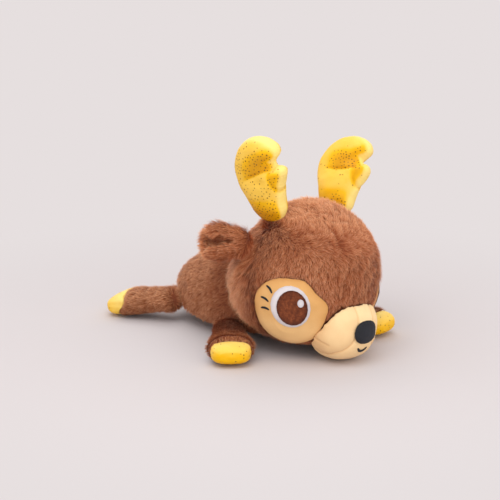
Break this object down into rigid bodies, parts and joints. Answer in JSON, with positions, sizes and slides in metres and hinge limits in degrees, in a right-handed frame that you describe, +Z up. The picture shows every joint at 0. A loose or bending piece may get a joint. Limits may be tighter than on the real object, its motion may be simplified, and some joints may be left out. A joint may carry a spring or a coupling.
{
  "type": "plush deer",
  "caption": "Stuffed toy deer lying on its belly, with a big round head, padded antlers, folded ears and splayed legs.",
  "frame": {"origin": "on the floor that the toy lies on, under the middle of its bounding box", "axes": "+Z up, -Y the way the toy faces, +X its left"},
  "size_m": [0.1726, 0.2508, 0.1752],
  "materials": {
    "brown_plush": "brown pile, a few millimetres long",
    "tan_velour": "short tan velour",
    "cream_velour": "short cream velour",
    "foil_cloth": "yellow velour printed with small gold foil dots",
    "navy_thread": "satin-stitched navy thread",
    "white_satin": "white satin stitch",
    "brown_velvet": "dark red-brown velvet"
  },
  "bodies": {
    "torso": {"body": "brown_plush"},
    "head": {"head": "brown_plush", "muzzle": "cream_velour", "nose": "navy_thread", "mouth": "navy_thread", "eye_patch_right": "tan_velour", "eye_white_right": "white_satin", "iris_right": "brown_velvet", "glint_right": "white_satin", "lash_right_1": "navy_thread", "lash_right_2": "navy_thread", "lash_right_3": "navy_thread", "eye_patch_left": "tan_velour", "eye_white_left": "white_satin", "iris_left": "brown_velvet", "glint_left": "white_satin", "lash_left_1": "navy_thread", "lash_left_2": "navy_thread", "lash_left_3": "navy_thread"},
    "ear_right": {"ear_right": "brown_plush"},
    "antler_right": {"antler_right": "foil_cloth"},
    "leg_front_right": {"leg_front_right": "brown_plush", "hoof_front_right": "foil_cloth"},
    "leg_hind_right": {"leg_hind_right": "brown_plush", "hoof_hind_right": "foil_cloth"},
    "ear_left": {"ear_left": "brown_plush"},
    "antler_left": {"antler_left": "foil_cloth"},
    "leg_front_left": {"leg_front_left": "brown_plush", "hoof_front_left": "foil_cloth"},
    "leg_hind_left": {"leg_hind_left": "brown_plush", "hoof_hind_left": "foil_cloth"}
  },
  "joints": [
    {"name": "neck_nod", "type": "hinge", "parent": "torso", "child": "head", "pos_m": [0.00594, -0.05639, 0.058], "axis": [-0.9895, -0.0779, 0.1219], "range_deg": [-6, 18], "stiffness_Nm_per_rad": 0.8},
    {"name": "ear_right_bend", "type": "hinge", "parent": "head", "child": "ear_right", "pos_m": [-0.04688, -0.04044, 0.09122], "axis": [0.0971, 0.0345, 0.9947], "range_deg": [-8, 15], "stiffness_Nm_per_rad": 0.03},
    {"name": "antler_right_bend", "type": "hinge", "parent": "head", "child": "antler_right", "pos_m": [-0.02595, -0.04936, 0.11435], "axis": [0.0606, -0.9952, 0.0764], "range_deg": [-15, 15], "stiffness_Nm_per_rad": 0.08},
    {"name": "leg_front_right_bend", "type": "hinge", "parent": "torso", "child": "leg_front_right", "pos_m": [-0.04013, -0.01389, 0.013], "axis": [-0.7879, 0.6158, 0], "range_deg": [-20, 10], "stiffness_Nm_per_rad": 0.1},
    {"name": "leg_hind_right_bend", "type": "hinge", "parent": "torso", "child": "leg_hind_right", "pos_m": [-0.03349, 0.06981, 0.0185], "axis": [0.8962, 0.4436, 0], "range_deg": [-20, 15], "stiffness_Nm_per_rad": 0.1},
    {"name": "ear_left_bend", "type": "hinge", "parent": "head", "child": "ear_left", "pos_m": [0.0621, -0.03187, 0.0778], "axis": [0.1415, 0.038, 0.9892], "range_deg": [-15, 8], "stiffness_Nm_per_rad": 0.03},
    {"name": "antler_left_bend", "type": "hinge", "parent": "head", "child": "antler_left", "pos_m": [0.049, -0.04346, 0.10512], "axis": [0.1137, -0.991, 0.0699], "range_deg": [-15, 15], "stiffness_Nm_per_rad": 0.08},
    {"name": "leg_front_left_bend", "type": "hinge", "parent": "torso", "child": "leg_front_left", "pos_m": [0.0567, -0.01939, 0.013], "axis": [-0.9717, -0.2361, 0], "range_deg": [-20, 4], "stiffness_Nm_per_rad": 0.1},
    {"name": "leg_hind_left_bend", "type": "hinge", "parent": "torso", "child": "leg_hind_left", "pos_m": [0.04537, 0.06981, 0.0185], "axis": [0.8962, -0.4436, 0], "range_deg": [-20, 15], "stiffness_Nm_per_rad": 0.1}
  ]
}
